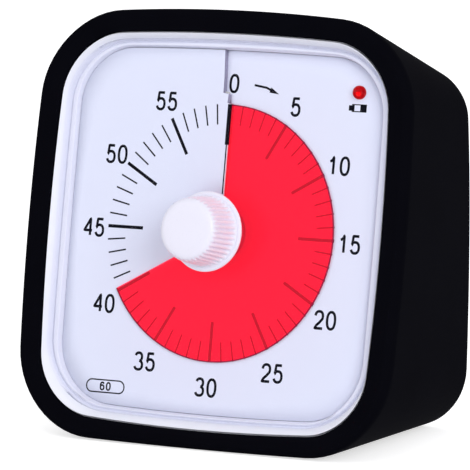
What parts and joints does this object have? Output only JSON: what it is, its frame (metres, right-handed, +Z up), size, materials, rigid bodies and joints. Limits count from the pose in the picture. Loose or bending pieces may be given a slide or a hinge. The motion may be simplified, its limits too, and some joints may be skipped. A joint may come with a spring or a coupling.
{
  "type": "visual countdown timer",
  "caption": "Leaning desk timer in a soft sleeve: a knob winds a translucent disk through a cut dial card to show the minutes left.",
  "frame": {"origin": "middle of the footprint, on the surface that the timer stands on", "axes": "+Z up, -Y towards the viewer of the dial, +X to that viewer's right"},
  "size_m": [0.0934, 0.0576, 0.0937],
  "materials": {
    "sleeve": "matt black silicone rubber",
    "case": "cool white moulded plastic, satin",
    "lens": "clear polished acrylic",
    "card": "printed white card",
    "film": "translucent red film",
    "knob": "white plastic, soft gloss",
    "inner_plastic": "off-white moulded plastic",
    "gear_plastic": "natural moulded plastic",
    "black_plastic": "black moulded plastic",
    "led": "red diffused epoxy",
    "steel": "plain zinc-plated steel",
    "brass": "turned brass",
    "winding": "enamelled copper wire",
    "cell": "printed metal jacket",
    "board": "green circuit board",
    "red_lead": "red insulated wire",
    "black_lead": "black insulated wire"
  },
  "bodies": {
    "case": {"silicone_cover": "sleeve", "front_housing": "case", "rear_housing": "case", "lens": "lens", "dial_face": "card", "dial_tray": "inner_plastic", "status_led": "led", "spindle_bush": "brass", "movement_front_plate": "gear_plastic", "movement_rear_plate": "gear_plastic", "stator": "steel", "coil_core": "steel", "coil_winding": "winding", "movement_screw_1": "steel", "movement_screw_2": "steel", "movement_screw_3": "steel", "housing_screw_1": "steel", "housing_screw_2": "steel", "housing_screw_3": "steel", "housing_screw_4": "steel", "board_screw_1": "steel", "board_screw_2": "steel", "battery_cell": "cell", "battery_contact": "steel", "battery_spring": "steel", "control_board": "board", "buzzer": "black_plastic", "switch_body": "steel", "battery_lead_red": "red_lead", "battery_lead_black": "black_lead", "led_lead": "red_lead"},
    "knob_set": {"knob": "knob", "spindle": "steel", "disk_hub": "knob", "clutch_spring": "steel", "clutch_collar": "brass", "drive_wheel": "gear_plastic"},
    "disk": {"time_disk": "film"},
    "third": {"third_wheel": "gear_plastic"},
    "fourth": {"fourth_wheel": "gear_plastic"},
    "rotor_set": {"rotor": "black_plastic"},
    "slider": {"volume_slider": "black_plastic"},
    "door": {"battery_door": "case"}
  },
  "joints": [
    {"name": "knob_turn", "type": "hinge", "parent": "case", "child": "knob_set", "pos_m": [0, -0.01425, 0.0458], "axis": [0, 0.986, -0.1668], "range_deg": [-240, 120]},
    {"name": "disk_climb", "type": "slide", "parent": "knob_set", "child": "disk", "axis": [0, -0.986, 0.1668], "range_m": [-0.0008, 0.0004]},
    {"name": "third_turn", "type": "hinge", "parent": "case", "child": "third", "pos_m": [0, -0.01144, 0.06236], "axis": [0, 0.986, -0.1668], "range_deg": [-720.1, 1440.1]},
    {"name": "fourth_turn", "type": "hinge", "parent": "case", "child": "fourth", "pos_m": [-0.0126, -0.01144, 0.06236], "axis": [0, 0.986, -0.1668], "range_deg": [-8640.1, 4320.1]},
    {"name": "rotor_turn", "type": "hinge", "parent": "case", "child": "rotor_set", "pos_m": [-0.01812, -0.01304, 0.05294], "axis": [0, 0.986, -0.1668], "range_deg": [-12960.1, 25920.1]},
    {"name": "volume_slide", "type": "slide", "parent": "case", "child": "slider", "axis": [1, 0, 0], "range_m": [0, 0.004]},
    {"name": "door_tip", "type": "hinge", "parent": "case", "child": "door", "pos_m": [0, 0.02616, 0.0053], "axis": [-1, 0, 0], "range_deg": [0, 80]}
  ],
  "couplings": [
    {"joint": "disk_climb", "follows": "knob_turn", "m_per_rad": 0.00019099},
    {"joint": "third_turn", "follows": "knob_turn", "ratio": -6},
    {"joint": "fourth_turn", "follows": "knob_turn", "ratio": 36},
    {"joint": "rotor_turn", "follows": "knob_turn", "ratio": -108}
  ]
}
